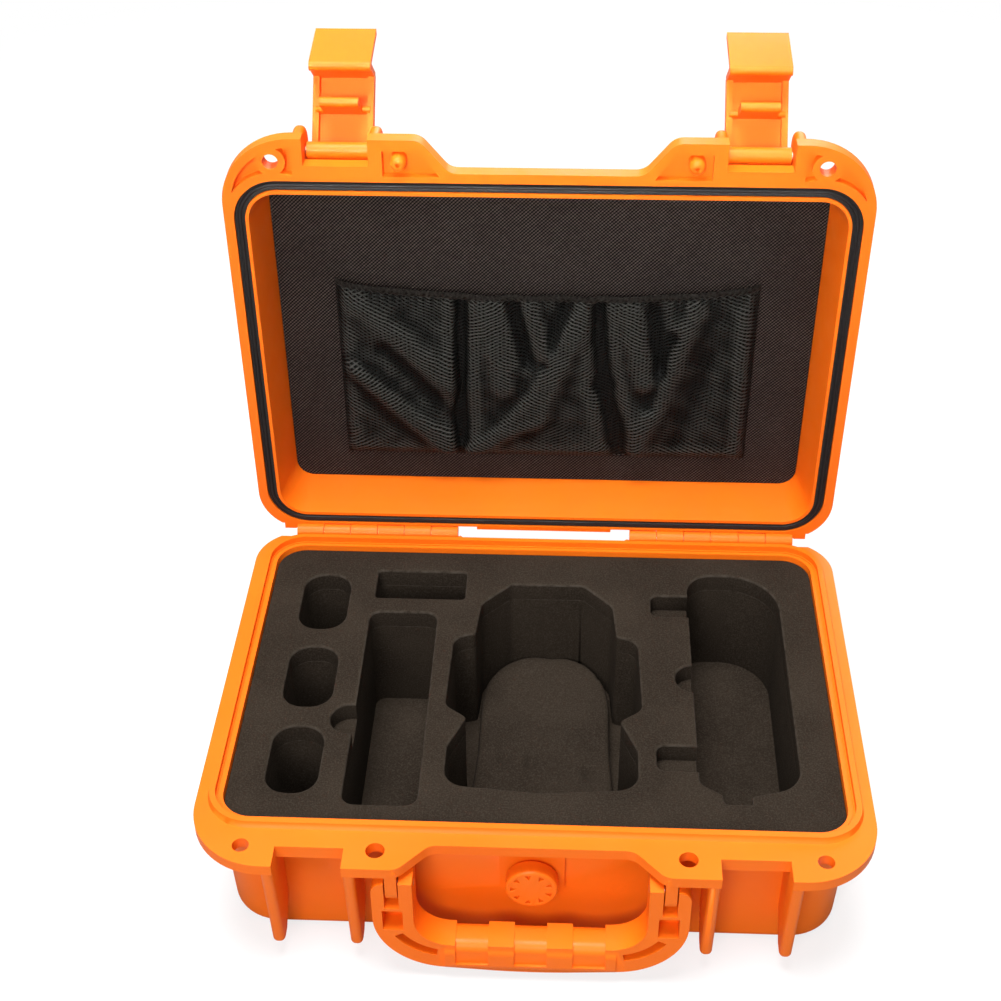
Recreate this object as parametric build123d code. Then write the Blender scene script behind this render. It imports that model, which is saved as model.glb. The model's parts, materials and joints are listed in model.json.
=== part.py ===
from build123d import *
import math
import os

# A hard waterproof carrying case for a small folding drone, lid open, with a cut foam insert.
# Millimetres.  X runs along the hinge, Y from the handle side (-) to the hinge side (+), Z up.
# The origin is the centre of the flat face that the base half stands on.  Lid parts are drawn
# as if the case were shut, latches as if they were fastened, and both are then swung open.

# ---------------------------------------------------------------- driving dimensions
case_width = 300.0          # over the rims
side_rim = 11.5             # rim outside the cavity, on the two short sides
cavity_depth = 188.6        # inside the base half, at the rim
cavity_radius = 14.0        # corner radius at the rim
floor_radius = 20.0         # corner radius at the standing face
base_height = 71.5          # standing face to mating face
lid_height = 40.0           # mating face to lid top
wall = 3.0
base_draft = 1.0            # degrees, of the side walls
lid_draft = 11.5            # degrees
lid_inner_corner = 7.0      # corner radius at the lid's top
base_edge_radius = 5.0
lid_edge_radius = 6.0

rim_thickness = 5.5
lid_rim_thickness = 6.8
rim_back = 102.0            # from the case centre line to the hinge-side edge
rim_ear = 122.2             # from the centre line to the edge of the two front ears
rim_recess = 108.0          # and to the edge of the recess over the handle
lid_recess = 105.9          # the same, in the lid
rim_front_radius = 34.0
rim_back_radius = 24.0
rim_back_cut = 4.0          # how much of the back corners' round the back edge cuts off
recess_radius = 8.0
recess_end = 9.9            # recess to the middle of the alignment pin
recess_slope = 13.3         # how far the recess's sloping ends run along the edge
closing_gap = 0.4           # between the two mating faces when the case is shut

seal_offset = 4.2           # seal centre line outside the cavity edge
groove_width = 5.2
tongue_inner = 3.2          # tongue's inner face, outside the cavity edge
tongue_outer = 5.8          # its outer edge at the top
tongue_foot = 6.7           # and at the foot of its slope
tongue_height = 3.2
bead_line = 2.2             # fine groove in the shelf inside the tongue
bead_line_width = 0.8
bead_line_depth = 0.5
gasket_thickness = 2.2
seal_gap = 0.3
gasket_side_gap = 0.1
seal_backing = 1.4          # plastic behind the gasket's groove

hinge_y = 106.8
knuckle_radius = 4.2
knuckle_pitch = 14.3
knuckle_inset = 104.6       # side of the case to the innermost knuckle
knuckle_count = 6           # base, lid, base, lid, base, lid
knuckle_gap = 0.3
knuckle_arm_gap = 0.4       # base arms below the mating face
hinge_pin_radius = 1.5
hinge_gusset = 7.0
lid_sill = 1.8              # lid rim's extra reach between the two hinges
lid_sill_gap = 3.0
lid_wing = 7.0              # lid rim's extra reach outside each hinge
lid_wing_edge = 1.2         # from the hinge line to that reach's edge
lid_wing_thickness = 3.8
running_fit = 0.06          # radial, pin in a hole that turns on it
lid_open_angle = 88.7       # the lid stops just short of upright

padlock_inset = 24.2        # from the side of the case
padlock_y = -110.8
padlock_hole_radius = 3.7
padlock_ring_radius = 6.9
align_inset = 28.7          # from the middle of the latch
align_y = -111.7
align_pin_radius = 3.7
align_pin_reach = 4.0       # below the lid's mating face
align_pin_dome = 2.3
align_core_radius = 1.0     # core hole in the pin's tip
align_core_depth = 2.5
align_hole_radius = 4.2
core_depth = 4.1            # depth of the moulded pockets in the lid rim
core_wall = 4.2             # plastic left between a moulded pocket and what lies round it
pin_pocket_front = 5.5      # rim edge to the pocket round the alignment pin
pin_pocket_back = 2.0       # that pocket's inner side, inward of the recess edge
pin_pocket_end = 0.4        # its outer end, outward of the recess
pin_pocket_slope = 9.0
pin_pocket_side = 1.1       # and its gap to the latch ear

latch_inset = 54.0          # from the side of the case
latch_width = 28.5
notch_width = 29.9
notch_edge = 111.0          # from the centre line to the back of a latch notch
lid_notch_edge = 108.8      # the same, in the lid
ear_thickness = 5.2
ear_flat = 0.6              # flat left between an ear's two rounded edges
pivot_y = -110.9
pivot_rise = 12.0           # latch pivot above the lid's mating face
pivot_lobe = 11.0
latch_pin_radius = 1.75
latch_open_angle = 137.0    # fastened to open
latch_lean = 8.0            # how far the fastened latch leans in at its foot
latch_wall = 3.0
latch_depth = 19.5          # pivot to the latch's outer face
latch_rail_depth = 13.0     # pivot to the free edge of the side rails
latch_barrel_radius = 3.8
latch_bend_radius = 9.5
hook_width = 18.0
hook_inset = 0.6            # bead centre, inward of the line from the pivot to the lip
hook_bead_radius = 2.3
hook_clearance = 0.4
strike_depth = 1.2          # ledge under the base rim that the hook bears on
lip_drop = 38.8             # pivot to the lip at the root of the finger tab
lip_bead_radius = 2.4
tab_drop = 59.1             # pivot to the free edge of the finger tab
tab_reach = 19.2            # and how far out that edge stands

guard_foot = 10.0           # lowest point of a latch guard above the standing face
guard_foot_reach = 115.0
guard_foot_radius = 4.0
guard_foot_length = 8.8
guard_root_rise = 12.0      # how much higher the guard meets the wall
guard_width = 5.4
guard_round = 2.2           # rounding of the guard's foot

handle_pivot_y = -114.8
handle_pivot_drop = 16.0    # below the mating face
handle_pin_radius = 2.0
handle_lug_inset = 8.8      # from the handle's side
handle_lug_width = 5.2
handle_lug_radius = 7.2
handle_fork_gap = 0.6
handle_guard_gap = 6.65     # from the handle to the nearest latch guard
handle_arm_width = 18.0
handle_arm_depth = 14.0
handle_arm_crown = 7.0      # arm above its pivot
handle_top_radius = 6.0
handle_foot = 4.5           # handle's lowest point above the standing face
handle_bow = 5.0            # how much its underside rises toward the corners
handle_sole_radius = 300.0
handle_outer_radius = 32.0
handle_inner_radius = 16.0
handle_centre_y = -115.6
handle_lug_clearance = 1.8  # from the lug to the fork's floor
handle_web = 1.8            # wall under the fork
handle_slot_half = 4.5      # slot moulded into the arm under that wall
handle_slot_height = 12.5
handle_core_depth = 9.0     # depth of the moulded slots
corner_slot_inset = 5.5     # curved slot in each lower corner
corner_slot_width = 4.5
corner_slot_angles = (31.0, 80.0)   # its ends, below the horizontal
grip_depth = 16.0
grip_height = 18.0
grip_radius = 6.0
grip_gap = 13.0             # from the grip to each arm
grip_pad_end = 11.0         # least distance from the grip's end to the middle of a pad
grip_pad_width = 14.5
grip_pad_pitch = 26.0
grip_pad_sink = 1.3         # in front, and then at the top
grip_pad_top_sink = 0.5
grip_pad_foot = 6.0         # band left under the pads

valve_drop = 28.0           # valve centre below the mating face
valve_boss_half = 14.5
valve_boss_rise = 1.8
valve_boss_drop = 37.0      # boss's lower edge below the mating face
valve_bush_radius = 6.0
valve_bush_flange = 9.0
valve_bush_flange_thickness = 1.5
valve_bore_radius = 2.6
valve_thread_reach = 5.0
valve_nut_width = 16.0
valve_nut_thickness = 3.0
valve_stem_radius = 2.5
valve_knob_radius = 11.6
valve_knob_thickness = 6.8
valve_knob_notches = 9
valve_knob_seat = 0.3
valve_socket_depth = 3.6
valve_knob_bevel = 0.8
valve_notch_inner = 6.4     # the knob's notches, from the centre
valve_notch_outer = 9.3
valve_notch_half = 1.3
valve_notch_depth = 1.6
valve_relief = 3.0          # foam cut clear of the nut, all round
valve_relief_depth = 1.5

foam_gap = 0.3
foam_top_drop = 2.4         # foam's upper face below the mating face
foam_base_thickness = 5.0
foam_top_thickness = 10.0
drone_bed_thickness = 12.0
bed_gap = 0.4

battery_width = 24.0
battery_length = 41.5
battery_radius = 10.5
battery_x = -110.0
battery_y = (53.1, -1.8, -56.5)
charger_left = -86.0
charger_right = -52.0
charger_front = -83.0
charger_back = 46.2
charger_radius = 6.0
thumb_x = -87.5
thumb_y = -30.0
thumb_radius = 9.5
cable_left = -85.0
cable_right = -39.0
cable_front = 57.0
cable_back = 78.2
cable_radius = 2.0
cable_slot_depth = 32.0

drone_x = 3.0
drone_outline = ((18.5, 69.5, 4.0), (33.2, 54.0, 9.0), (35.0, 31.0, 2.5), (45.4, 29.0, 8.0),
                 (46.6, -19.0, 6.0), (36.0, -27.0, 2.5), (44.0, -46.0, 9.0), (44.0, -69.5, 10.0))
drone_front = -73.5
drone_front_radius = 60.0
bed_half = 33.0

controller_left = 74.5
controller_outline = ((controller_left, 80.0, 13.0), (120.6, 80.0, 26.0), (120.2, -65.5, 14.0),
                      (97.4, -72.0, 2.0), (97.4, -77.0, 2.0), (85.0, -77.0, 2.0),
                      (84.5, -71.5, 2.0), (controller_left, -65.0, 6.0))
stick_left = 55.6
stick_radius = 4.0
stick_width = 15.8
stick_y = (55.3, -49.9)
scoop_x = 75.5
scoop_y = 3.0
scoop_radius = 9.5

liner_depth = 25.0          # mating face to the liner's face
liner_gap = 0.4
fabric_thickness = 1.2
pocket_inset = 34.0         # net pocket's end, inward of the cavity's
pocket_top = -36.0          # the pocket's open edge, toward the latches
pocket_bottom = 71.5
pocket_stand = 8.0          # how far the net stands off the liner
net_thickness = 1.6
hem_height = 7.0
hem_thickness = 0.8

# ---------------------------------------------------------------- values worked out from them
cavity_width = case_width - 2 * side_rim
half_x = cavity_width / 2
half_y = cavity_depth / 2
rim_half = case_width / 2
padlock_x = rim_half - padlock_inset
latch_x = rim_half - latch_inset
align_x = latch_x - align_inset
knuckle_start = rim_half - knuckle_inset      # inner end of the innermost knuckle
handle_outer_half = latch_x - notch_width / 2 - guard_width - handle_guard_gap
handle_inner_half = handle_outer_half - handle_arm_width
handle_lug_x = handle_outer_half - handle_lug_inset
grip_half = handle_inner_half - grip_gap
grip_pads = int((grip_half - grip_pad_end) // grip_pad_pitch)      # each side of the middle one
recess_slope_half = align_x - recess_end      # where the recess's slopes end, and its straight edge
recess_half = recess_slope_half - recess_slope
pocket_half = half_x - pocket_inset
lid_base = base_height + closing_gap          # the lid's mating face, case shut
pivot_z = lid_base + pivot_rise
gasket_low = base_height + tongue_height + seal_gap
ear_x = (latch_x - notch_width / 2 - ear_thickness / 2, latch_x + notch_width / 2 + ear_thickness / 2)
guard_x = (latch_x - notch_width / 2 - guard_width / 2, latch_x + notch_width / 2 + guard_width / 2)
hook_drop = pivot_rise + closing_gap + rim_thickness + strike_depth + hook_bead_radius + hook_clearance
foam_top = base_height - foam_top_drop
foam_seam = foam_top - foam_top_thickness
foam_floor = wall + foam_base_thickness
front_wall = -(half_y + wall)
handle_pivot_z = base_height - handle_pivot_drop
valve_z = base_height - valve_drop
cut = 1.0                                     # how far a cutting shape runs past what it cuts
sides = (-1, 1)
boss_face = front_wall - valve_boss_rise
bush_face = boss_face - valve_bush_flange_thickness
hinge_axis = Axis((0, hinge_y, base_height), (1, 0, 0))
latch_axis = Axis((0, pivot_y, pivot_z), (1, 0, 0))


# ---------------------------------------------------------------- drawing helpers
def prism(sketch, low, high):
    """A sketch in plan, as a solid between two heights."""
    return extrude(Pos(0, 0, low) * sketch, amount=high - low)


def along_x(sketch, middle, width):
    """A sketch of (Y, Z) points, as a solid centred on X = middle."""
    return Pos(middle, 0, 0) * extrude(Plane.YZ * sketch, amount=width / 2, both=True)


def along_y(sketch, middle, depth):
    """A sketch of (X, Z) points, as a solid centred on Y = middle."""
    return Pos(0, middle, 0) * extrude(Plane.XZ * sketch, amount=depth / 2, both=True)


def block(x0, x1, y0, y1, z0, z1):
    """A box between two corners."""
    middle = Pos((x0 + x1) / 2, (y0 + y1) / 2, (z0 + z1) / 2)
    return middle * Box(abs(x1 - x0), abs(y1 - y0), abs(z1 - z0))


def rod(x0, x1, y, z, radius):
    """A round bar along X."""
    return along_x(Pos(y, z) * Circle(radius), (x0 + x1) / 2, abs(x1 - x0))


def stud(x, z, y0, y1, radius):
    """A round bar along Y."""
    return along_y(Pos(x, z) * Circle(radius), (y0 + y1) / 2, abs(y1 - y0))


def rounded(corners):
    """A closed outline through (x, y, corner radius) points."""
    line = FilletPolyline(*[(x, y) for x, y, r in corners], radius=[r for x, y, r in corners], close=True)
    return make_face(line)


def tub(grow, low, high):
    """A plug with the cavity's plan, grown by some wall, that narrows toward the standing face."""
    def section(height):
        drop = base_height - height
        shrink = drop * math.tan(math.radians(base_draft))
        corner = cavity_radius + (floor_radius - cavity_radius) * drop / base_height + grow
        swell = 2 * (grow - shrink)
        return Pos(0, 0, height) * RectangleRounded(cavity_width + swell, cavity_depth + swell, corner)
    return loft([section(low), section(high)], ruled=True)


def inner_wall(height):
    """Y of the front wall's inner face at a height."""
    return -half_y + (base_height - height) * math.tan(math.radians(base_draft))


def cavity_loop(outset):
    """The cavity's plan at the rim, grown all round."""
    swell = 2 * outset
    return RectangleRounded(cavity_width + swell, cavity_depth + swell, cavity_radius + outset)


def cavity_ring(inner, outer, low, high):
    """A ring round the cavity, between two distances outside its edge."""
    return prism(cavity_loop(outer) - cavity_loop(inner), low, high)


def seal_ring(width, low, high):
    """A ring of the given width that follows the seal's centre line."""
    return cavity_ring(seal_offset - width / 2, seal_offset + width / 2, low, high)


def tongue():
    """The raised lip that closes on the gasket, with a sloping outer side."""
    foot = Pos(0, 0, base_height) * cavity_loop(tongue_foot)
    crest = Pos(0, 0, base_height + tongue_height) * cavity_loop(tongue_outer)
    lip = loft([foot, crest], ruled=True)
    return lip - prism(cavity_loop(tongue_inner), base_height - cut, base_height + tongue_height + cut)


def rim_outline(recess, notch_back):
    """The plan of a rim: ears, recess over the handle and two latch notches."""
    beyond = rim_back + rim_back_cut
    right = [(recess_half, -recess, recess_radius), (recess_slope_half, -rim_ear, recess_radius),
             (rim_half, -rim_ear, rim_front_radius), (rim_half, beyond, rim_back_radius)]
    left = [(-x, y, r) for x, y, r in reversed(right)]
    plate = rounded([*right, *left])
    plate -= Pos(0, rim_back + rim_back_cut) * Rectangle(case_width + cut, 2 * rim_back_cut)
    for side in sides:
        notch = Rectangle(notch_width, rim_ear + cut - notch_back)
        plate -= Pos(side * latch_x, -(rim_ear + cut + notch_back) / 2) * notch
    return plate


# ---------------------------------------------------------------- hinge
def knuckle_span(index):
    """Inner and outer |X| of one knuckle."""
    inner = knuckle_start + index * knuckle_pitch + knuckle_gap / 2
    return inner, inner + knuckle_pitch - knuckle_gap


def knuckles(indices, arm_low, arm_high):
    """Knuckles on both sides, each with the arm that joins it to its rim."""
    result = None
    for side in sides:
        for index in indices:
            inner, outer = knuckle_span(index)
            knuckle = rod(side * inner, side * outer, hinge_y, base_height, knuckle_radius)
            arm = block(side * inner, side * outer, rim_back - wall, hinge_y, arm_low, arm_high)
            result = knuckle + arm if result is None else result + knuckle + arm
    return result


def hinge_hole(radius):
    """The pin holes of both sides, as cutting bars."""
    inner = knuckle_span(0)[0]
    outer = knuckle_span(knuckle_count - 1)[1]
    holes = []
    for side in sides:
        holes.append(rod(side * (inner - cut), side * (outer + cut), hinge_y, base_height, radius))
    return holes


def hinge_pin(side):
    inner = knuckle_span(0)[0]
    outer = knuckle_span(knuckle_count - 1)[1]
    return rod(side * inner, side * outer, hinge_y, base_height, hinge_pin_radius)


# ---------------------------------------------------------------- base half
def latch_guard(x):
    """A rib beside a latch, deepest at the rim, with a rounded foot."""
    top = base_height - rim_thickness / 2
    root = -half_y - wall / 2
    line = FilletPolyline((root, top), (-rim_ear, top), (-guard_foot_reach, guard_foot),
                          (-guard_foot_reach + guard_foot_length, guard_foot),
                          (root, guard_foot + guard_root_rise),
                          radius=[0, 0, guard_foot_radius, guard_foot_radius, 0], close=True)
    guard = along_x(make_face(line), x, guard_width)
    foot_edges = guard.edges().filter_by(Axis.Y).sort_by(Axis.Z)[:2]
    return fillet(foot_edges, guard_round)


def strike(side):
    """The ledge under a latch notch that the latch's hook bears on."""
    x = side * latch_x
    low = base_height - rim_thickness - strike_depth
    return block(x - notch_width / 2, x + notch_width / 2, -notch_edge, -half_y - wall / 2, low,
                 base_height - rim_thickness / 2)


def handle_lug(side):
    """The tab under the rim that carries one end of the handle."""
    top = base_height - rim_thickness / 2
    cheek = Pos(handle_pivot_y, handle_pivot_z) * Circle(handle_lug_radius)
    height = top - handle_pivot_z
    neck = Pos(handle_pivot_y, handle_pivot_z + height / 2) * Rectangle(2 * handle_lug_radius, height)
    lug = along_x(cheek + neck, side * handle_lug_x, handle_lug_width)
    foot = handle_pivot_z - handle_lug_radius + handle_lug_width / 2
    front = Pos(side * handle_lug_x, foot) * Circle(handle_lug_width / 2)
    front += Pos(side * handle_lug_x, (foot + top) / 2) * Rectangle(handle_lug_width, top - foot)
    return lug & along_y(front, handle_pivot_y, 2 * handle_lug_radius + cut)


def rim_hole(x, y, radius):
    """A cutting bar down through the base rim."""
    return prism(Pos(x, y) * Circle(radius), base_height - rim_thickness - cut, base_height + cut)


def tub_outside():
    """The base half's outer form, with its rounded lower edge."""
    form = tub(wall, 0, base_height)
    return fillet(form.faces().sort_by(Axis.Z)[0].edges(), base_edge_radius)


def under_floor():
    """Everything lower than the floor's upper face."""
    return block(-case_width, case_width, -case_width, case_width, -cut, wall)


def base_floor():
    """The floor of the base half; the walls and rim stand on it."""
    return tub_outside() & under_floor()


def base_shell():
    shell = tub_outside() - under_floor()
    shell += prism(rim_outline(rim_recess, notch_edge), base_height - rim_thickness, base_height)
    for side in sides:
        for x in guard_x:
            shell += latch_guard(side * x)
        shell += handle_lug(side)
        shell += strike(side)
    shell += block(-valve_boss_half, valve_boss_half, boss_face, -half_y - wall / 2,
                   base_height - valve_boss_drop, base_height - rim_thickness / 2)
    arm_top = base_height - knuckle_arm_gap
    shell += knuckles(range(0, knuckle_count, 2), base_height - knuckle_radius, arm_top)
    for side in sides:
        inner = knuckle_span(0)[0]
        gusset = Polyline((side * inner, rim_back - cut), (side * (inner - hinge_gusset), rim_back - cut),
                          (side * inner, hinge_y), close=True)
        shell += prism(make_face(gusset), base_height - knuckle_radius, arm_top)
    shell += tongue()
    shell -= cavity_ring(bead_line - bead_line_width / 2, bead_line + bead_line_width / 2,
                         base_height - bead_line_depth, base_height + cut)
    shell -= tub(0, wall - cut, base_height)
    lug_past = handle_lug_width / 2 + cut
    for side in sides:
        shell -= rim_hole(side * padlock_x, padlock_y, padlock_hole_radius)
        shell -= rim_hole(side * align_x, align_y, align_hole_radius)
        shell -= rod(side * handle_lug_x - lug_past, side * handle_lug_x + lug_past,
                     handle_pivot_y, handle_pivot_z, handle_pin_radius)
    for hole in hinge_hole(hinge_pin_radius):
        shell -= hole
    inside = inner_wall(valve_z - valve_bush_radius) + cut
    return shell - stud(0, valve_z, boss_face - cut, inside, valve_bush_radius)


# ---------------------------------------------------------------- handle
def handle_frame():
    """U-shaped handle, forked at its ends, with a waisted grip."""
    top = handle_pivot_z + handle_arm_crown
    corner = handle_foot + handle_bow
    outer = rounded(((handle_outer_half, top, handle_top_radius),
                     (handle_outer_half, corner, handle_outer_radius),
                     (0, handle_foot, handle_sole_radius),
                     (-handle_outer_half, corner, handle_outer_radius),
                     (-handle_outer_half, top, handle_top_radius)))
    sill = handle_foot + grip_height
    window = Pos(0, (sill + top) / 2 + handle_inner_radius) * RectangleRounded(
        2 * handle_inner_half, top - sill + 2 * handle_inner_radius, handle_inner_radius)
    frame = along_y(outer - window, handle_centre_y, handle_arm_depth)
    middle = handle_foot + grip_height / 2
    grip = Pos(handle_centre_y, middle) * RectangleRounded(grip_depth, grip_height, grip_radius)
    frame += along_x(grip, 0, 2 * grip_half)
    for index in range(-grip_pads, grip_pads + 1):
        frame -= grip_recess(index * grip_pad_pitch)
    for side in sides:
        for hollow in handle_hollows(side, top):
            frame -= hollow
    return frame


def handle_hollows(side, top):
    """What is cut from one end of the handle: fork, pin hole, and two slots in its outer face."""
    front = handle_centre_y - handle_arm_depth / 2
    back = front + handle_arm_depth
    fork_half = handle_lug_width / 2 + handle_fork_gap
    fork_floor = handle_pivot_z - handle_lug_radius - handle_lug_clearance
    slot_top = fork_floor - handle_web
    x = side * handle_lug_x
    return [block(x - fork_half, x + fork_half, front - cut, back + cut, fork_floor, top + cut),
            block(x - handle_slot_half, x + handle_slot_half, front - cut, front + handle_core_depth,
                  slot_top - handle_slot_height, slot_top),
            corner_slot(side, front),
            rod(side * (handle_inner_half - cut), side * (handle_outer_half + cut), handle_pivot_y,
                handle_pivot_z, handle_pin_radius + running_fit)]


def corner_slot(side, front):
    """The curved slot moulded into a lower corner of the handle."""
    centre = Pos(side * (handle_outer_half - handle_outer_radius),
                 handle_foot + handle_bow + handle_outer_radius)
    outer = handle_outer_radius - corner_slot_inset
    middle = math.radians(sum(corner_slot_angles) / 2)
    lean = Pos(-side * corner_slot_width * math.cos(middle), corner_slot_width * math.sin(middle))
    ring = Circle(outer) - lean * Circle(outer)
    rays = []
    for angle in corner_slot_angles:
        turn = math.radians(angle)
        rays.append((side * 2 * outer * math.cos(turn), -2 * outer * math.sin(turn)))
    sector = make_face(Polyline((0, 0), *rays, close=True))
    return along_y(centre * (ring & sector), front + handle_core_depth / 2, handle_core_depth)


def grip_recess(x):
    """A band sunk into the grip's upper and front faces, with a rounded bar left inside it."""
    middle = Pos(handle_centre_y, handle_foot + grip_height / 2)
    inset = Pos(handle_centre_y + grip_pad_sink / 2, handle_foot + grip_height / 2)
    core = inset * RectangleRounded(grip_depth - grip_pad_sink, grip_height - 2 * grip_pad_top_sink,
                                    grip_radius - grip_pad_sink)
    band = along_x(middle * Rectangle(grip_depth + cut, grip_height + cut), x, grip_pad_width)
    band -= along_x(core, x, grip_pad_width + cut)
    return band - block(x - grip_pad_width, x + grip_pad_width, handle_centre_y - grip_depth,
                        handle_centre_y + grip_depth, 0, handle_foot + grip_pad_foot)


def handle_pin(side):
    return rod(side * handle_inner_half, side * handle_outer_half, handle_pivot_y, handle_pivot_z,
               handle_pin_radius)


# ---------------------------------------------------------------- purge valve
def valve_bush():
    """Flanged bush through the front wall."""
    thread_end = -half_y + valve_thread_reach
    bush = stud(0, valve_z, boss_face, bush_face, valve_bush_flange)
    bush += stud(0, valve_z, boss_face, thread_end, valve_bush_radius)
    return bush - stud(0, valve_z, bush_face - cut, thread_end + cut, valve_bore_radius)


def valve_lock_nut():
    hexagon = Pos(0, valve_z) * RegularPolygon(valve_nut_width / 2, 6, major_radius=False)
    seat = inner_wall(valve_z - valve_nut_width / 2)
    nut = along_y(hexagon, seat + valve_nut_thickness / 2, valve_nut_thickness)
    return nut - stud(0, valve_z, seat - cut, seat + valve_nut_thickness + cut, valve_bush_radius)


def valve_stem():
    """Sliding stem that carries the knob."""
    stem_front = bush_face - valve_knob_seat - valve_socket_depth
    return stud(0, valve_z, stem_front, -half_y + valve_thread_reach, valve_stem_radius)


def valve_knob():
    """Fluted cap that turns on the stem."""
    back = bush_face - valve_knob_seat
    face = back - valve_knob_thickness
    knob = stud(0, valve_z, back, face, valve_knob_radius)
    knob = chamfer(knob.edges().filter_by(GeomType.CIRCLE).sort_by(Axis.Y)[0], valve_knob_bevel)
    for step in range(valve_knob_notches):
        turn = 360 * (step + 0.5) / valve_knob_notches
        knob -= Pos(0, 0, valve_z) * Rot(0, -turn, 0) * knob_notch(face)
    return knob - stud(0, valve_z, back + cut, back - valve_socket_depth, valve_stem_radius + running_fit)


def knob_notch(face):
    """One wedge-shaped notch in the knob's face, drawn for a knob centred on the Y axis."""
    wedge = Polyline((valve_notch_inner, 0), (valve_notch_outer, valve_notch_half),
                     (valve_notch_outer, -valve_notch_half), close=True)
    return along_y(make_face(wedge), face, 2 * valve_notch_depth)


# ---------------------------------------------------------------- foam insert
def drone_cut(shrink=0.0):
    """The drone's outline, drawn for one side and mirrored."""
    right = [(drone_x + x, y, r) for x, y, r in drone_outline]
    left = [(drone_x - x, y, r) for x, y, r in reversed(drone_outline)]
    outline = rounded([*right, (drone_x, drone_front, drone_front_radius), *left])
    return offset(outline, -shrink) if shrink else outline


def deep_cuts():
    """Everything that goes down to the foam's base sheet."""
    battery = RectangleRounded(battery_width, battery_length, battery_radius)
    cuts = [Pos(battery_x, y) * battery for y in battery_y]
    charger = RectangleRounded(charger_right - charger_left, charger_back - charger_front, charger_radius)
    cuts.append(Pos((charger_left + charger_right) / 2, (charger_front + charger_back) / 2) * charger)
    cuts.append(rounded(controller_outline))
    cuts.append(drone_cut())
    return cuts


def cable_cut():
    slot = RectangleRounded(cable_right - cable_left, cable_back - cable_front, cable_radius)
    return Pos((cable_left + cable_right) / 2, (cable_front + cable_back) / 2) * slot


def shallow_cuts():
    """Finger notches that only go through the top sheet."""
    reach = controller_left + stick_radius - stick_left
    notch = RectangleRounded(reach, stick_width, stick_radius)
    cuts = [Pos(stick_left + reach / 2, y) * notch for y in stick_y]
    cuts.append(Pos(thumb_x, thumb_y) * Circle(thumb_radius))
    cuts.append(Pos(scoop_x, scoop_y) * Circle(scoop_radius))
    return cuts


def foam_layer(low, high, cuts):
    layer = tub(-foam_gap, low, high)
    for hole in cuts:
        layer -= prism(hole, low - cut, high + cut)
    return layer


def foam_top_sheet():
    return foam_layer(foam_seam, foam_top, [*deep_cuts(), cable_cut(), *shallow_cuts()])


def foam_core():
    core = foam_layer(foam_floor, foam_seam, deep_cuts())
    core -= prism(cable_cut(), foam_top - cable_slot_depth, foam_seam + cut)
    return core - stud(0, valve_z, -half_y - cut, -half_y + valve_thread_reach + valve_relief_depth,
                       valve_nut_width / 2 + valve_relief)


def foam_base_sheet():
    return foam_layer(wall, foam_floor, [])


def drone_bed_pad():
    """Raised floor of the drone's pocket; the two arm lobes beside it stay deep."""
    bed = drone_cut(bed_gap)
    strip = Pos(drone_x, 0) * Rectangle(2 * bed_half, cavity_depth)
    return prism(bed & strip, foam_floor, foam_floor + drone_bed_thickness)


# ---------------------------------------------------------------- lid half, drawn shut
def lid_plug(grow, low, high):
    """The lid's inner form, grown by some wall, between two heights above its mating face."""
    def section(rise):
        shrink = rise * math.tan(math.radians(lid_draft))
        share = rise / lid_height
        corner = cavity_radius + (lid_inner_corner - cavity_radius) * share + grow
        swell = 2 * (grow - shrink)
        return Pos(0, 0, lid_base + rise) * RectangleRounded(cavity_width + swell, cavity_depth + swell, corner)
    return loft([section(low), section(high)], ruled=True)


def latch_ears():
    """Pairs of lobes that carry the latch pins, with the ribs that join them to the lid."""
    low = lid_base + rim_thickness / 2
    rounding = (ear_thickness - ear_flat) / 2
    result = None
    for side in sides:
        for x in ear_x:
            lobe = Pos(pivot_y, pivot_z) * Circle(pivot_lobe)
            rib = Polyline((pivot_y - pivot_lobe, pivot_z), (pivot_y - pivot_lobe, low), (-half_y, low),
                           (-half_y, pivot_z + pivot_lobe), (pivot_y, pivot_z + pivot_lobe),
                           (pivot_y, pivot_z), close=True)
            ear = along_x(lobe + make_face(rib), side * x, ear_thickness)
            outside = [edge for edge in ear.edges() if edge not in ear.edges().filter_by(Axis.X)
                       and edge.center().Y < -half_y - cut and edge.center().Z > low + cut]
            ear = fillet(outside, rounding)
            result = ear if result is None else result + ear
    return result


def rim_pocket_pin(side):
    """Moulded pocket round the alignment pin."""
    low = -rim_ear + pin_pocket_front
    high = -lid_recess + pin_pocket_back
    near = latch_x - notch_width / 2 - ear_thickness - pin_pocket_side
    short = recess_slope_half + pin_pocket_end
    return make_face(Polyline((side * near, low), (side * short, low),
                              (side * (short - pin_pocket_slope), high), (side * near, high), close=True))


def rim_pocket_corner(side):
    """Moulded crescent pocket in the rim's front corner, round the padlock ring."""
    corner = Pos(side * (rim_half - rim_front_radius), -rim_ear + rim_front_radius)
    seal_corner = Pos(side * (half_x - cavity_radius), -half_y + cavity_radius)
    seal_keep = cavity_radius + seal_offset + groove_width / 2 + core_wall
    pocket = corner * Circle(rim_front_radius - core_wall)
    pocket -= seal_corner * Circle(seal_keep)
    outer_ear = ear_x[1] + ear_thickness / 2
    reach = 2 * rim_front_radius
    keep = Pos(side * (outer_ear + reach / 2), -rim_ear) * Rectangle(reach, reach)
    return (pocket & keep) - Pos(side * padlock_x, padlock_y) * Circle(padlock_ring_radius)


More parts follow.
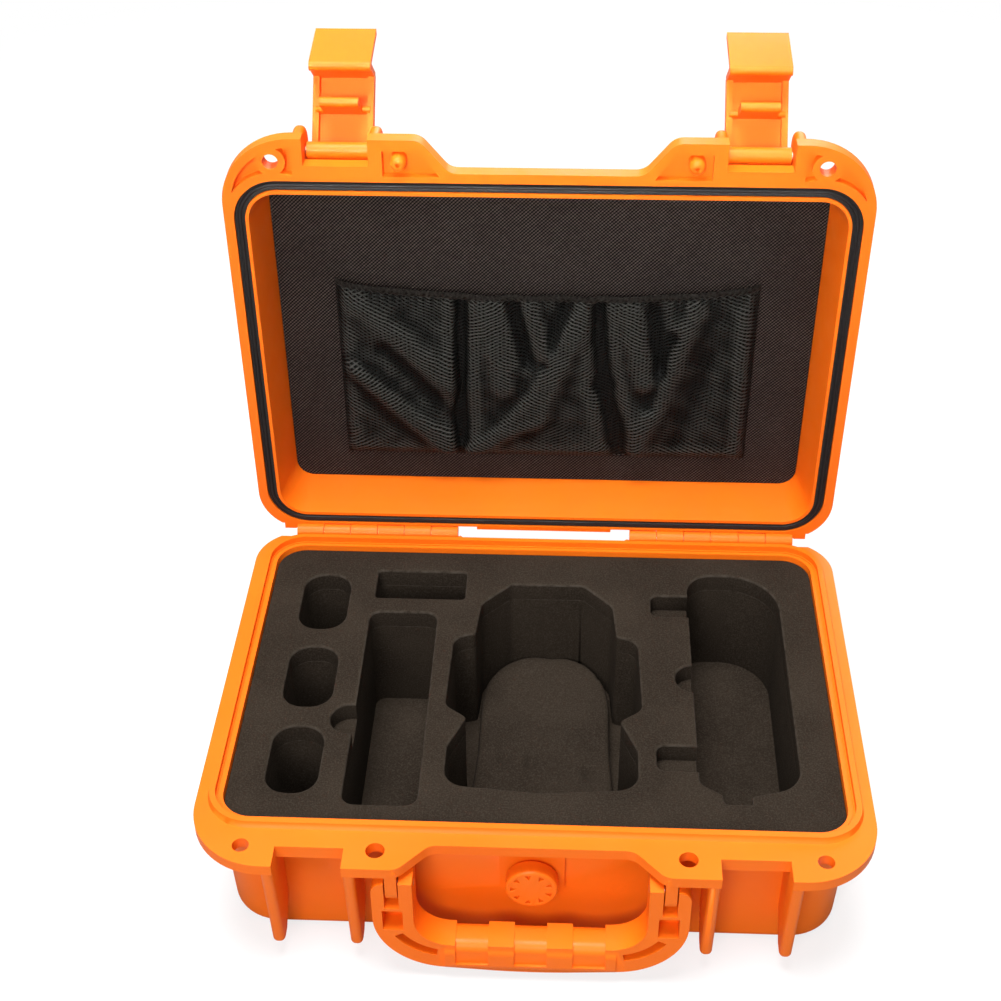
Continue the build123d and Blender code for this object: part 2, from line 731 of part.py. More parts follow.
def lid_shell():
    groove_top = gasket_low + gasket_thickness
    shell = lid_plug(wall, 0, lid_height)
    shell = fillet(shell.faces().sort_by(Axis.Z)[-1].edges(), lid_edge_radius)
    shell += prism(rim_outline(lid_recess, lid_notch_edge), lid_base, lid_base + lid_rim_thickness)
    shell += seal_ring(groove_width + seal_backing, lid_base, groove_top + seal_backing)
    shell += latch_ears()
    shell += knuckles(range(1, knuckle_count, 2), lid_base, base_height + knuckle_radius)
    sill = knuckle_start - hinge_gusset - lid_sill_gap
    shell += block(-sill, sill, rim_back - cut, rim_back + lid_sill, lid_base, lid_base + lid_rim_thickness)
    wing = knuckle_span(knuckle_count - 1)[1]
    for side in sides:
        shell += block(side * (wing - cut), side * (wing + lid_wing), rim_back - wall, hinge_y - lid_wing_edge,
                       lid_base, lid_base + lid_wing_thickness)
    shell -= lid_plug(0, 0, lid_height - wall)
    shell -= seal_ring(groove_width, lid_base - cut, groove_top)
    pin_reach = notch_width / 2 + ear_thickness + cut
    for side in sides:
        shell -= prism(rim_pocket_pin(side), lid_base - cut, lid_base + core_depth)
        shell -= prism(rim_pocket_corner(side), lid_base - cut, lid_base + core_depth)
        shell += align_pin(side)
        shell -= prism(Pos(side * padlock_x, padlock_y) * Circle(padlock_hole_radius),
                       lid_base - cut, lid_base + lid_rim_thickness + cut)
        shell -= rod(side * latch_x - pin_reach, side * latch_x + pin_reach,
                     pivot_y, pivot_z, latch_pin_radius)
    for hole in hinge_hole(hinge_pin_radius + running_fit):
        shell -= hole
    return shell


def align_pin(side):
    """Domed pin that drops into the base rim, with the small core hole in its tip."""
    low = lid_base - align_pin_reach
    centre = Pos(side * align_x, align_y)
    pin = prism(centre * Circle(align_pin_radius), low, lid_base + core_depth + cut / 2)
    pin = fillet(pin.faces().sort_by(Axis.Z)[0].edges(), align_pin_dome)
    return pin - prism(centre * Circle(align_core_radius), low - cut, low + align_core_depth)


def lid_gasket():
    return seal_ring(groove_width - 2 * gasket_side_gap, gasket_low, gasket_low + gasket_thickness)


def lid_liner_fabric():
    return lid_plug(-liner_gap, liner_depth, liner_depth + fabric_thickness)


def lid_liner_board():
    return lid_plug(-liner_gap, liner_depth + fabric_thickness, lid_height - wall)


def mesh_pocket():
    """Net pocket: a front, two sides and a foot, open toward the latches."""
    back = lid_base + liner_depth
    front = back - pocket_stand
    net = block(-pocket_half, pocket_half, pocket_top, pocket_bottom, front, back)
    net -= block(-pocket_half + net_thickness, pocket_half - net_thickness, pocket_top - cut,
                 pocket_bottom - net_thickness, front + net_thickness, back + cut)
    return net


def mesh_pocket_hem():
    """Folded band sewn over the pocket's open edge."""
    front = lid_base + liner_depth - pocket_stand
    return block(-pocket_half, pocket_half, pocket_top, pocket_top + hem_height, front - hem_thickness, front)


def latch_pin(side):
    reach = notch_width / 2 + ear_thickness
    return rod(side * latch_x - reach, side * latch_x + reach, pivot_y, pivot_z, latch_pin_radius)


# ---------------------------------------------------------------- latches, drawn upright
def latch_point(drop, out):
    """A point given by its drop below the pivot and its distance outward from it."""
    return pivot_y - out, pivot_z - drop


def latch_profile(inner_line):
    """The outer line, from the lip up round the bend to the barrel, closed by an inner line."""
    top = -latch_barrel_radius
    bend = latch_bend_radius
    diagonal = bend * (1 - math.sqrt(0.5))
    outer = [Polyline(latch_point(lip_drop, latch_depth), latch_point(top + bend, latch_depth)),
             ThreePointArc(latch_point(top + bend, latch_depth),
                           latch_point(top + diagonal, latch_depth - diagonal),
                           latch_point(top, latch_depth - bend)),
             Polyline(latch_point(top, latch_depth - bend), latch_point(top, 0), latch_point(0, 0))]
    return make_face([*outer, *inner_line])


def latch_plate():
    """The latch's outer plate and its bend, full width."""
    top = -latch_barrel_radius + latch_wall
    inside = latch_depth - latch_wall
    bend = latch_bend_radius - latch_wall
    diagonal = bend * (1 - math.sqrt(0.5))
    return latch_profile([
        Polyline(latch_point(0, 0), latch_point(top, latch_barrel_radius / 2),
                 latch_point(top, inside - bend)),
        ThreePointArc(latch_point(top, inside - bend), latch_point(top + diagonal, inside - diagonal),
                      latch_point(top + bend, inside)),
        Polyline(latch_point(top + bend, inside), latch_point(lip_drop, inside),
                 latch_point(lip_drop, latch_depth))])


def latch_cheek():
    """Side profile of the two rails."""
    return latch_profile([
        Polyline(latch_point(0, 0), latch_point(latch_barrel_radius * 0.85, latch_barrel_radius * 0.45),
                 latch_point(latch_barrel_radius + latch_wall, latch_rail_depth),
                 latch_point(lip_drop, latch_rail_depth), latch_point(lip_drop, latch_depth))])


def latch_bar(x, drop, out, radius, width):
    """A transverse web from the plate inward, ending in a round bead."""
    y0, z0 = latch_point(drop, out)
    root = pivot_y - latch_depth + latch_wall / 2
    web = Pos((y0 + root) / 2, z0) * Rectangle(y0 - root, latch_wall)
    return along_x(Pos(y0, z0) * Circle(radius) + web, x, width)


def finger_tab():
    """The flared plate that a finger pulls."""
    lip_y, lip_z = latch_point(lip_drop, 0)
    tip_y, tip_z = latch_point(tab_drop, tab_reach)
    length = math.hypot(tip_y - lip_y, tip_z - lip_z)
    across_y = (tip_z - lip_z) / length
    across_z = -(tip_y - lip_y) / length
    near = -lip_bead_radius
    far = latch_wall - lip_bead_radius
    return make_face(Polyline((lip_y + across_y * near, lip_z + across_z * near),
                              (tip_y + across_y * near, tip_z + across_z * near),
                              (tip_y + across_y * far, tip_z + across_z * far),
                              (lip_y + across_y * far, lip_z + across_z * far), close=True))


def latch(side):
    x = side * latch_x
    half = latch_width / 2
    body = along_x(latch_plate(), x, latch_width)
    for rail in sides:
        body += along_x(latch_cheek(), x + rail * (half - latch_wall / 2), latch_wall)
    body += rod(x - half, x + half, pivot_y, pivot_z, latch_barrel_radius)
    body += latch_bar(x, hook_drop, -hook_inset, hook_bead_radius, hook_width)
    body += latch_bar(x, hook_drop, latch_rail_depth, latch_wall / 2, latch_width - latch_wall)
    body += latch_bar(x, lip_drop, 0, lip_bead_radius, latch_width)
    body += along_x(finger_tab(), x, latch_width)
    return body - rod(x - latch_width, x + latch_width, pivot_y, pivot_z, latch_pin_radius + running_fit)


# ---------------------------------------------------------------- assembly at rest
def opened(shape):
    """A lid part, swung from shut to open."""
    return shape.rotate(hinge_axis, -lid_open_angle)


def unlatched(shape):
    """A latch, swung from upright to its open stop, then opened with the lid."""
    return opened(shape.rotate(latch_axis, latch_lean - latch_open_angle))


parts = {
    "base_shell": base_shell(),
    "base_floor": base_floor(),
    "foam_top_sheet": foam_top_sheet(),
    "foam_core": foam_core(),
    "foam_base_sheet": foam_base_sheet(),
    "drone_bed_pad": drone_bed_pad(),
    "handle_frame": handle_frame(),
    "valve_bush": valve_bush(),
    "valve_lock_nut": valve_lock_nut(),
    "valve_stem": valve_stem(),
    "valve_knob": valve_knob(),
    "lid_shell": opened(lid_shell()),
    "lid_gasket": opened(lid_gasket()),
    "lid_liner_board": opened(lid_liner_board()),
    "lid_liner_fabric": opened(lid_liner_fabric()),
    "mesh_pocket": opened(mesh_pocket()),
    "mesh_pocket_hem": opened(mesh_pocket_hem()),
}
for name, side in (("left", -1), ("right", 1)):
    parts["hinge_pin_" + name] = hinge_pin(side)
    parts["handle_pin_" + name] = handle_pin(side)
    parts["latch_pin_" + name] = opened(latch_pin(side))
    parts["latch_" + name] = unlatched(latch(side))

os.makedirs("parts", exist_ok=True)
for name, shape in parts.items():
    export_step(shape, f"parts/{name}.step")
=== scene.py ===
import json
import math
import random

import bmesh
import bpy
from mathutils import Matrix, Vector, noise

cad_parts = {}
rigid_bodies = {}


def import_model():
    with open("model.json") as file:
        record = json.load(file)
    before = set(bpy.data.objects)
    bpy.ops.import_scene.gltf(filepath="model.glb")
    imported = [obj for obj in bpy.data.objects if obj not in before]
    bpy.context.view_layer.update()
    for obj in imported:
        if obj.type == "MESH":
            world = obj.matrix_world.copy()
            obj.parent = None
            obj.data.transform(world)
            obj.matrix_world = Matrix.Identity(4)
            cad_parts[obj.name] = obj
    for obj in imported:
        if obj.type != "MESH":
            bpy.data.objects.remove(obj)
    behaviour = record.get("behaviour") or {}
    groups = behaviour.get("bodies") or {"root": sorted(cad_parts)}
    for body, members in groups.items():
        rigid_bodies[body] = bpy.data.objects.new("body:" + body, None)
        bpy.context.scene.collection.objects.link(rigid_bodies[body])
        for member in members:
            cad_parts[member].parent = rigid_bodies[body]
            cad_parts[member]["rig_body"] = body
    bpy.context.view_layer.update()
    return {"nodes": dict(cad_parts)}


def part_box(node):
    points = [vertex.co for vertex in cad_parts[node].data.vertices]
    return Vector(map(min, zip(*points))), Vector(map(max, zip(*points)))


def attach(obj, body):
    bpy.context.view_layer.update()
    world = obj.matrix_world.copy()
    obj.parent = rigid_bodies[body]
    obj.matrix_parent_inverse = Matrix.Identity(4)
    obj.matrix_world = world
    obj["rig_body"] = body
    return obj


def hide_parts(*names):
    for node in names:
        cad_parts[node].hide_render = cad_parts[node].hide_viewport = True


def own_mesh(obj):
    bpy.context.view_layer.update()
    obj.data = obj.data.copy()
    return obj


# The looks of an orange hard case with a cut foam insert, lid open.
# Metres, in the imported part's own frame: X along the hinge, Y toward the hinge, Z up.
# Lid pieces are drawn as if the lid were shut and then swung open with lid_point().

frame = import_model()
nodes = frame["nodes"]
mm = 0.001


# ---------------------------------------------------------------- camera, light and floor
surround_color = (1.0, 0.975, 0.93, 1)  # of the light that the surroundings give
surround_strength = 0.23                # of that light on matt surfaces
surround_shine = 0.45                   # what reflections see on top of it
floor_half = 4.0
floor_tone_lit = 0.34                   # the floor's tone for the light that it sends back
floor_tone_seen = 0.96                  # and for the camera
glow_near, glow_far = 0.74, 1.0         # share of plain white that the camera sees, by the object and far off
fade_start, fade_end = 0.35, 1.1        # distances over which the first becomes the second


def make_camera():
    """The photograph's viewpoint: 60 mm lens, high in front of the case, leaning over it."""
    data = bpy.data.cameras.new("camera")
    data.sensor_width = 36.0
    data.lens = 60.2
    camera = bpy.data.objects.new("camera", data)
    bpy.context.scene.collection.objects.link(camera)
    roll = Matrix.Rotation(math.radians(4.151), 4, "Z")
    tilt = Matrix.Rotation(math.radians(127.72), 4, "X")
    pan = Matrix.Rotation(math.radians(-3.726), 4, "Y")
    turn = (roll @ tilt @ pan).transposed() @ Matrix.Rotation(math.pi, 4, "X")
    camera.matrix_world = Matrix.Translation((0.01214, -0.58696, 0.62994)) @ turn
    bpy.context.scene.camera = camera


def area_light(name, place, target, size, power, spread=180):
    """A round soft light at a place, aimed at a target; spread is in degrees."""
    data = bpy.data.lights.new(name, "AREA")
    data.shape = "DISK"
    data.size = size
    data.energy = power
    data.spread = math.radians(spread)
    light = bpy.data.objects.new(name, data)
    bpy.context.scene.collection.objects.link(light)
    light.location = place
    light.rotation_euler = (Vector(target) - Vector(place)).to_track_quat("-Z", "Y").to_euler()


def make_world():
    """Even white surroundings, seen as plain white by the camera."""
    world = bpy.data.worlds.new("studio")
    world.use_nodes = True
    tree = world.node_tree
    tree.nodes.clear()
    rays = tree.nodes.new("ShaderNodeLightPath")
    seen = tree.nodes.new("ShaderNodeBackground")
    seen.inputs["Color"].default_value = (1, 1, 1, 1)
    seen.inputs["Strength"].default_value = 1.0
    lit = tree.nodes.new("ShaderNodeBackground")
    lit.inputs["Color"].default_value = surround_color
    shine = tree.nodes.new("ShaderNodeMath")
    shine.operation = "MULTIPLY_ADD"
    shine.inputs[1].default_value = surround_shine
    shine.inputs[2].default_value = surround_strength
    tree.links.new(rays.outputs["Is Glossy Ray"], shine.inputs[0])
    tree.links.new(shine.outputs[0], lit.inputs["Strength"])
    mix = tree.nodes.new("ShaderNodeMixShader")
    out = tree.nodes.new("ShaderNodeOutputWorld")
    tree.links.new(rays.outputs["Is Camera Ray"], mix.inputs[0])
    tree.links.new(lit.outputs[0], mix.inputs[1])
    tree.links.new(seen.outputs[0], mix.inputs[2])
    tree.links.new(mix.outputs[0], out.inputs[0])
    bpy.context.scene.world = world


def make_floor():
    """White floor that keeps a soft shadow near the object and is plain white further off."""
    half = floor_half
    corners = [(-half, -half, 0), (half, -half, 0), (half, half, 0), (-half, half, 0)]
    mesh = bpy.data.meshes.new("floor")
    mesh.from_pydata(corners, [], [(0, 1, 2, 3)])
    floor = bpy.data.objects.new("floor", mesh)
    bpy.context.scene.collection.objects.link(floor)
    material = bpy.data.materials.new("floor")
    material.use_nodes = True
    tree = material.node_tree
    tree.nodes.clear()
    paper = tree.nodes.new("ShaderNodeBsdfDiffuse")
    bright = tree.nodes.new("ShaderNodeMapRange")
    bright.inputs["To Min"].default_value = floor_tone_lit
    bright.inputs["To Max"].default_value = floor_tone_seen
    glow = tree.nodes.new("ShaderNodeEmission")
    glow.inputs["Strength"].default_value = 1.0
    rays = tree.nodes.new("ShaderNodeLightPath")
    place = tree.nodes.new("ShaderNodeTexCoord")
    away = tree.nodes.new("ShaderNodeVectorMath")
    away.operation = "LENGTH"
    fade = tree.nodes.new("ShaderNodeMapRange")
    fade.inputs["From Min"].default_value = fade_start
    fade.inputs["From Max"].default_value = fade_end
    fade.inputs["To Min"].default_value = glow_near
    fade.inputs["To Max"].default_value = glow_far
    share = tree.nodes.new("ShaderNodeMath")
    share.operation = "MULTIPLY"
    mix = tree.nodes.new("ShaderNodeMixShader")
    out = tree.nodes.new("ShaderNodeOutputMaterial")
    tree.links.new(rays.outputs["Is Camera Ray"], bright.inputs["Value"])
    tree.links.new(bright.outputs[0], paper.inputs["Color"])
    tree.links.new(place.outputs["Object"], away.inputs[0])
    tree.links.new(away.outputs["Value"], fade.inputs["Value"])
    tree.links.new(rays.outputs["Is Camera Ray"], share.inputs[0])
    tree.links.new(fade.outputs[0], share.inputs[1])
    tree.links.new(share.outputs[0], mix.inputs[0])
    tree.links.new(paper.outputs[0], mix.inputs[1])
    tree.links.new(glow.outputs[0], mix.inputs[2])
    tree.links.new(mix.outputs[0], out.inputs[0])
    mesh.materials.append(material)


make_camera()
make_world()
make_floor()
area_light("overhead", (-0.12, -0.12, 1.7), (0, 0.0, 0.1), 0.9, 41)
area_light("front", (-0.3, -1.4, 1.0), (0, 0, 0.12), 0.8, 16)
area_light("lid", (-0.15, -1.2, 0.9), (0, 0.12, 0.38), 0.4, 0.5, 16)
area_light("behind", (0.3, 1.6, 0.9), (0, 0.1, 0.15), 1.0, 14)
bpy.context.scene.view_settings.view_transform = "Standard"


# ---------------------------------------------------------------- material helpers
class Shader:
    """A Principled material that is built up node by node."""

    def __init__(self, name, color, roughness, specular=0.5):
        self.material = bpy.data.materials.new(name)
        self.material.use_nodes = True
        self.tree = self.material.node_tree
        self.main = self.tree.nodes["Principled BSDF"]
        self.main.inputs["Base Color"].default_value = (*color, 1)
        self.main.inputs["Roughness"].default_value = roughness
        self.main.inputs["Specular IOR Level"].default_value = specular
        coordinates = self.tree.nodes.new("ShaderNodeTexCoord")
        self.place = coordinates.outputs["Object"]

    def node(self, kind, **inputs):
        """A new node; an underscore in an input's name stands for a space."""
        made = self.tree.nodes.new("ShaderNode" + kind)
        for name, value in inputs.items():
            self.feed(made, name.replace("_", " "), value)
        return made

    def feed(self, node, name, value):
        """Sets a node's input, by name or number, to a value or links it to a socket."""
        socket = node.inputs[int(name)] if name.isdigit() else node.inputs[name]
        if isinstance(value, bpy.types.NodeSocket):
            self.tree.links.new(value, socket)
        else:
            socket.default_value = value

    def noise(self, scale, detail=2.0, rough=0.5, place=None):
        """Noise over the object, or over another place."""
        made = self.node("TexNoise", Scale=scale, Detail=detail, Roughness=rough)
        self.feed(made, "Vector", place or self.place)
        return made.outputs["Fac"]

    def math(self, kind, a, b=0.0, c=0.0):
        made = self.tree.nodes.new("ShaderNodeMath")
        made.operation = kind
        for index, value in enumerate((a, b, c)):
            self.feed(made, str(index), value)
        return made.outputs[0]

    def span(self, value, low, high, to_low=0.0, to_high=1.0):
        """Maps a value from one range to another, clamped."""
        made = self.node("MapRange", Value=value)
        made.inputs["From Min"].default_value = low
        made.inputs["From Max"].default_value = high
        made.inputs["To Min"].default_value = to_low
        made.inputs["To Max"].default_value = to_high
        return made.outputs[0]

    def mix(self, share, first, second):
        """A colour between two."""
        made = self.tree.nodes.new("ShaderNodeMix")
        made.data_type = "RGBA"
        for index, value in ((0, share), (6, first), (7, second)):
            if isinstance(value, tuple):
                value = (*value, 1)
            if isinstance(value, bpy.types.NodeSocket):
                self.tree.links.new(value, made.inputs[index])
            else:
                made.inputs[index].default_value = value
        return made.outputs[2]

    def color(self, value):
        self.feed(self.main, "Base Color", value)

    def roughness(self, value):
        self.feed(self.main, "Roughness", value)

    def bump(self, height, distance, strength=1.0):
        """Adds relief on top of what is there."""
        made = self.node("Bump", Strength=strength, Distance=distance, Height=height)
        before = self.main.inputs["Normal"].links
        if before:
            self.tree.links.new(before[0].from_socket, made.inputs["Normal"])
        self.tree.links.new(made.outputs[0], self.main.inputs["Normal"])


def orange_plastic():
    """Moulded polypropylene: fine spark texture, faint flow marks, slightly uneven gloss."""
    base = (0.93, 0.158, 0.005)
    warm = (0.96, 0.180, 0.007)
    shader = Shader("orange_plastic", base, 0.42, 0.22)
    flow = shader.noise(9.0, 3.0, 0.6)
    shader.color(shader.mix(shader.span(flow, 0.35, 0.65), base, warm))
    shader.roughness(shader.span(shader.noise(60.0, 4.0), 0.3, 0.7, 0.38, 0.52))
    shader.bump(shader.noise(2600.0, 1.0), 0.00004, 0.35)
    shader.bump(shader.noise(120.0, 2.0), 0.0002, 0.12)
    shader.main.inputs["Subsurface Weight"].default_value = 0.06
    shader.main.inputs["Subsurface Radius"].default_value = (0.004, 0.0012, 0.0003)
    return shader.material


def foam():
    """Closed-cell foam: charcoal brown, suede-like grain, with a painted highlight on the edges that are cut
    and rounded.
    """
    dark = (0.0190, 0.0136, 0.0094)
    pale = (0.0255, 0.0186, 0.0130)
    lip = (0.060, 0.049, 0.038)
    shader = Shader("charcoal_foam", dark, 0.95, 0.05)
    grain = shader.noise(1300.0, 3.0, 0.7)
    cloud = shader.noise(24.0, 3.0, 0.5)
    tone = shader.mix(shader.span(cloud, 0.38, 0.62), dark, pale)
    tone = shader.mix(shader.math("MULTIPLY", shader.span(grain, 0.44, 0.72), 0.55), tone, lip)
    # painted highlight: the rounded edges' lip mark makes them lighter, in patches
    edge = shader.node("Attribute")
    edge.attribute_name = "lip"
    patches = shader.span(shader.noise(260.0, 3.0), 0.3, 0.62)
    painted_edge_highlight = shader.math("MULTIPLY", edge.outputs["Fac"], patches)
    shader.color(shader.mix(shader.math("MULTIPLY", painted_edge_highlight, 0.8), tone, lip))
    shader.bump(grain, 0.0004, 0.6)
    shader.bump(shader.noise(420.0, 3.0), 0.0004, 0.10)
    return shader.material


def rubber():
    """Black seal rubber, matt in places."""
    shader = Shader("gasket_rubber", (0.010, 0.009, 0.009), 0.5, 0.3)
    shader.roughness(shader.span(shader.noise(90.0, 3.0), 0.3, 0.7, 0.42, 0.58))
    shader.bump(shader.noise(900.0, 2.0), 0.0001, 0.25)
    return shader.material


def steel():
    """Plain drawn steel for the pins."""
    shader = Shader("steel", (0.62, 0.61, 0.60), 0.3)
    shader.main.inputs["Metallic"].default_value = 1.0
    shader.roughness(shader.span(shader.noise(400.0, 3.0), 0.3, 0.7, 0.24, 0.4))
    return shader.material


def weave(name, thread, gap, pitch, lean):
    """Ballistic nylon: threads crossing at a slant, one way stronger, in the open lid's plane (X and Z)."""
    weaker = 0.55                       # height of one way's threads as a share of the other's
    shader = Shader(name, thread, 0.8, 0.09)
    turned = shader.node("Mapping", Vector=shader.place)
    turned.inputs["Rotation"].default_value = (0, lean, 0)
    turned.inputs["Scale"].default_value = (1 / pitch, 1 / pitch, 1 / pitch)
    parts = shader.node("SeparateXYZ", Vector=turned.outputs[0])
    waves = []
    for axis in "XZ":
        angle = shader.math("MULTIPLY", parts.outputs[axis], 2 * math.pi)
        waves.append(shader.math("SINE", angle))
    crown = shader.math("MULTIPLY_ADD", waves[0], weaker, waves[1])
    raised = shader.span(crown, -0.1, 0.9)
    uneven = shader.span(shader.noise(500.0, 2.0), 0.3, 0.7, 0.6, 1.0)
    cloud = shader.span(shader.noise(30.0, 3.0), 0.35, 0.65, 0.8, 1.0)
    share = shader.math("MULTIPLY", shader.math("MULTIPLY", raised, uneven), cloud)
    shader.color(shader.mix(share, gap, thread))
    shader.bump(raised, 0.0003, 0.8)
    shader.main.inputs["Sheen Weight"].default_value = 0.04
    return shader.material


def net_cloth(name, thread, gap, fine, see_through):
    """Knitted net: rows of slack threads that lean one way or the other, over the cloth's flat coordinates.

    Where both ways are strong they cross in diamonds. Folded-in net gets painted shade: it is darker than its
    ridges."""
    strand_lean = 0.48
    weak, strong = 0.35, 1.0            # of a way of threads, where the other way rules and where it does
    slack = 0.003                       # how far a row of threads wanders
    shader = Shader(name, thread, 0.6, 0.08)
    place = shader.node("Attribute")
    place.attribute_name = "flat"
    flat = place.outputs["Vector"]
    ridge = shader.node("Attribute")
    ridge.attribute_name = "ridge"
    wobble = shader.noise(70.0, 1.0, place=flat)
    parts = shader.node("SeparateXYZ", Vector=flat)
    shift = shader.math("MULTIPLY", shader.math("SUBTRACT", wobble, 0.5), slack)
    x = parts.outputs["X"]
    y = shader.math("ADD", parts.outputs["Y"], shift)
    falling = shader.span(shader.noise(26.0, 1.0, place=flat), 0.44, 0.56, weak, strong)
    rising = shader.math("SUBTRACT", weak + strong, falling)
    strands = []
    for lean, share in ((strand_lean, falling), (-strand_lean, rising)):
        slanted = shader.math("ADD", y, shader.math("MULTIPLY", x, lean))
        wave = shader.math("SINE", shader.math("MULTIPLY", slanted, 2 * math.pi / fine))
        strands.append(shader.math("MULTIPLY", shader.span(wave, 0.0, 0.7), share))
    crossed = shader.math("MAXIMUM", strands[0], strands[1])
    glint = shader.span(shader.noise(900.0, 2.0), 0.3, 0.7, 0.55, 1.0)
    # painted shade: the ridge mark darkens the threads down in the folds' feet
    lit = shader.math("MULTIPLY", shader.span(ridge.outputs["Fac"], 0.0, 1.0, 0.10, 1.0), glint)
    shader.color(shader.mix(shader.math("MULTIPLY", crossed, lit), gap, thread))
    shader.bump(crossed, 0.0003, 0.5)
    if see_through:
        shader.feed(shader.main, "Alpha", shader.span(crossed, 0.05, 0.4, 0.8, 1.0))
    return shader.material


orange = orange_plastic()
foam_material = foam()
rubber_material = rubber()
steel_material = steel()
liner_material = weave("ballistic_nylon", thread=(0.100, 0.075, 0.064), gap=(0.0022, 0.0016, 0.0014),
                       pitch=1.32 * mm, lean=math.radians(45))
net_material = net_cloth("pocket_net", thread=(0.064, 0.063, 0.056), gap=(0.0010, 0.0011, 0.0009),
                         fine=2.1 * mm, see_through=True)
hem_material = net_cloth("pocket_hem", thread=(0.036, 0.032, 0.027), gap=(0.006, 0.005, 0.004),
                         fine=1.5 * mm, see_through=False)
thread = Shader("sewing_thread", (0.042, 0.036, 0.031), 0.6, 0.2)
thread.bump(thread.noise(3000.0, 2.0), 0.0001, 0.4)
thread_material = thread.material


# ---------------------------------------------------------------- mesh helpers
weld_distance = 0.01 * mm
flat_angle = math.radians(1.0)          # faces that meet at less than this are one flat face
edge_angle = math.radians(32)           # edges that turn by more than this are rounded and look sharp


def new_piece(name, mesh, body, material, slot, *replaced):
    """Puts a mesh in the scene: it rides on a body, in place of the CAD nodes named last. The slot argument
    is not used.
    """
    piece = bpy.data.objects.new(name, mesh)
    bpy.context.scene.collection.objects.link(piece)
    mesh.materials.clear()
    mesh.materials.append(material)
    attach(piece, body)
    if replaced:
        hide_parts(*replaced)
    return piece


def welded(node):
    """A working object with the CAD node's mesh, its split points joined again."""
    work = bmesh.new()
    work.from_mesh(nodes[node].data)
    bmesh.ops.remove_doubles(work, verts=work.verts, dist=weld_distance)
    made = bpy.data.objects.new(node + "_copy", finish_mesh(work, node + "_copy"))
    bpy.context.scene.collection.objects.link(made)
    return made


def clean_copy(*names):
    """The mesh of one CAD node, or of several that are one moulding, with its flat faces made whole."""
    first, *others = [welded(name) for name in names]
    for other in others:
        union = first.modifiers.new("union", "BOOLEAN")
        union.operation = "UNION"
        union.solver = "EXACT"
        union.object = other
    view = bpy.context.evaluated_depsgraph_get()
    mesh = bpy.data.meshes.new_from_object(first.evaluated_get(view))
    for made in (first, *others):
        bpy.data.objects.remove(made)
    work = bmesh.new()
    work.from_mesh(mesh)
    bpy.data.meshes.remove(mesh)
    bmesh.ops.remove_doubles(work, verts=work.verts, dist=weld_distance)
    bmesh.ops.dissolve_limit(work, angle_limit=flat_angle, verts=work.verts, edges=work.edges)
    return work


def finish_mesh(work, name):
    """A mesh from an edited one, which is freed."""
    mesh = bpy.data.meshes.new(name)
    work.to_mesh(mesh)
    work.free()
    return mesh


def moulded(node, name, body, radius, material=orange, slot="orange_shell", joined=()):
    """A hard part with the small edge radius of a moulded one."""
    mesh = finish_mesh(clean_copy(node, *joined), name)
    piece = new_piece(name, mesh, body, material, slot, node, *joined)
    bevel = piece.modifiers.new("edges", "BEVEL")
    bevel.width = radius
    bevel.segments = 2
    bevel.limit_method = "ANGLE"
    bevel.angle_limit = edge_angle
    bevel.use_clamp_overlap = True
    bevel.harden_normals = True
    for face in piece.data.polygons:
        face.use_smooth = True
    piece.data.set_sharp_from_angle(angle=edge_angle)
    return piece


moulded("base_shell", "base_tub", "base", 0.5 * mm, joined=("base_floor",))
moulded("lid_shell", "lid_moulding", "lid", 0.5 * mm)
moulded("handle_frame", "handle", "handle", 0.9 * mm)
moulded("latch_left", "latch_left_moulding", "latch_left", 0.4 * mm)
moulded("latch_right", "latch_right_moulding", "latch_right", 0.4 * mm)
moulded("valve_knob", "valve_cap", "valve", 0.3 * mm)
moulded("valve_bush", "valve_collar", "base", 0.3 * mm)
for name in ("hinge_pin_left", "hinge_pin_right", "handle_pin_left", "handle_pin_right",
             "latch_pin_left", "latch_pin_right", "valve_stem", "valve_lock_nut"):
    body = nodes[name]["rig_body"]
    moulded(name, name + "_rod", body, 0.25 * mm, steel_material, "steel")


def foam_sheet(node, name, lip):
    """A foam sheet whose upper edges are rounded over, with a mark on them by which the material paints a
    highlight.
    """
    level_within = 0.1 * mm
    sharp = 0.8                         # radians between the faces at an edge that is rounded
    fading = 2.5                        # how fast the mark grows down the rounding
    work = clean_copy(node)
    top = max(v.co.z for v in work.verts)
    edges = []
    for edge in work.edges:
        level = all(abs(v.co.z - top) < level_within for v in edge.verts)
        if level and len(edge.link_faces) == 2 and edge.calc_face_angle() > sharp:
            edges.append(edge)
    made = bmesh.ops.bevel(work, geom=edges, offset=lip, segments=4, profile=0.5, affect="EDGES")
    # the mark sets how strongly each part of a rounded edge gets its painted highlight
    mark = work.loops.layers.float.new("lip")
    for face in made["faces"]:
        for corner in face.loops:
            corner[mark] = min(1.0, fading * (top - corner.vert.co.z) / lip)
    mesh = finish_mesh(work, name)
    mesh.polygons.foreach_set("use_smooth", [True] * len(mesh.polygons))
    mesh.set_sharp_from_angle(angle=math.radians(40))
    piece = new_piece(name, mesh, "base", foam_material, "foam", node)
    return piece


foam_sheet("foam_top_sheet", "foam_top", 1.3 * mm)
foam_sheet("foam_core", "foam_middle", 0.4 * mm)
foam_sheet("foam_base_sheet", "foam_bottom", 0.4 * mm)


